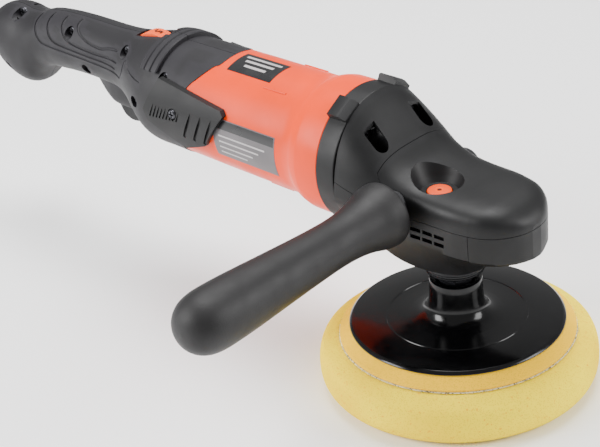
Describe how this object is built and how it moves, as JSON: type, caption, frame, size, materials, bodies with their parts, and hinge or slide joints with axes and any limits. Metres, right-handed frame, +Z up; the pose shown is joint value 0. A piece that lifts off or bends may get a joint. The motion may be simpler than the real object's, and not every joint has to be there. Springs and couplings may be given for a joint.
{
  "type": "rotary polisher",
  "caption": "Corded rotary polisher: foam pad on a geared spindle, motor tube, rear grip with trigger and speed dial, screw-in side handle.",
  "frame": {"origin": "middle of the polishing pad's working face, on the spindle axis", "axes": "+Z up the spindle, +X from the rear grip towards the tool's nose, so the side handle points along -Y"},
  "size_m": [0.5193, 0.309, 0.1872],
  "materials": {
    "orange_plastic": "satin",
    "black_plastic": "matte",
    "grip_rubber": "matte",
    "side_handle_rubber": "matte",
    "gloss_black": "gloss",
    "pad_foam": "matte",
    "ring_foam": "matte",
    "hook_loop": "matte",
    "cast_aluminium": "satin",
    "steel": "satin",
    "dark_steel": "satin",
    "copper": "satin",
    "lamination": "satin",
    "brass": "satin",
    "carbon": "matte",
    "board_green": "satin",
    "fan_plastic": "matte",
    "dial_orange": "satin"
  },
  "bodies": {
    "tool_body": {"gear_housing": "cast_aluminium", "bearing_retainer": "cast_aluminium", "lower_bearing": "steel", "upper_bearing": "steel", "palm_cover": "black_plastic", "slope_cover": "black_plastic", "side_band": "black_plastic", "nose_band": "black_plastic", "lock_spring": "steel", "motor_housing": "orange_plastic", "flange_ring": "black_plastic", "stator_core": "lamination", "field_coil_upper": "copper", "field_coil_lower": "copper", "front_motor_bearing": "steel", "rear_motor_bearing": "steel", "brush_holder_left": "brass", "brush_holder_right": "brass", "carbon_brush_left": "carbon", "carbon_brush_right": "carbon", "handle_shell_left": "grip_rubber", "handle_shell_right": "grip_rubber", "trigger_pin": "steel", "trigger_spring": "steel", "switch_body": "black_plastic", "speed_board": "board_green", "dial_axle": "steel", "cord_inlet": "black_plastic", "side_handle_grip": "side_handle_rubber", "side_handle_stud": "steel", "vent_cover_left": "black_plastic", "vent_cover_right": "black_plastic", "head_screw_left": "dark_steel", "head_screw_right": "dark_steel", "handle_screw_1": "dark_steel", "handle_screw_2": "dark_steel", "handle_screw_3": "dark_steel", "handle_screw_4": "dark_steel", "handle_screw_5": "dark_steel", "handle_screw_6": "dark_steel", "handle_screw_7": "dark_steel", "vent_screw_left": "dark_steel", "vent_screw_right": "dark_steel"},
    "spindle_set": {"polishing_pad": "pad_foam", "hook_loop_layer": "hook_loop", "backing_foam": "ring_foam", "backing_plate": "gloss_black", "spindle": "steel", "crown_gear": "steel"},
    "rotor": {"armature_shaft": "steel", "rotor_core": "lamination", "armature_winding_front": "copper", "armature_winding_rear": "copper", "commutator": "copper", "fan": "fan_plastic", "pinion": "steel"},
    "lock_set": {"lock_button": "dial_orange", "lock_pin": "steel"},
    "trigger_lever": {"trigger": "black_plastic"},
    "dial_wheel": {"speed_dial": "dial_orange"}
  },
  "joints": [
    {"name": "spindle_spin", "type": "hinge", "parent": "tool_body", "child": "spindle_set", "pos_m": [0, 0, 0], "axis": [0, 0, 1], "continuous": true},
    {"name": "rotor_spin", "type": "hinge", "parent": "tool_body", "child": "rotor", "pos_m": [-0.148, 0, 0.1403], "axis": [1, 0, 0], "continuous": true},
    {"name": "trigger_press", "type": "hinge", "parent": "tool_body", "child": "trigger_lever", "pos_m": [-0.266, 0, 0.118], "axis": [0, 1, 0], "range_deg": [0, 8], "stiffness_Nm_per_rad": 0.6, "springref_deg": -8.59, "deforming": ["trigger_spring"]},
    {"name": "lock_press", "type": "slide", "parent": "tool_body", "child": "lock_set", "axis": [0, 0, -1], "range_m": [0, 0.003], "stiffness_N_per_m": 600, "springref_m": -0.002, "deforming": ["lock_spring"]},
    {"name": "dial_turn", "type": "hinge", "parent": "tool_body", "child": "dial_wheel", "pos_m": [-0.257, 0, 0.156], "axis": [0, 1, 0], "range_deg": [-160, 40]}
  ],
  "couplings": [
    {"joint": "rotor_spin", "follows": "spindle_spin", "ratio": -3}
  ]
}
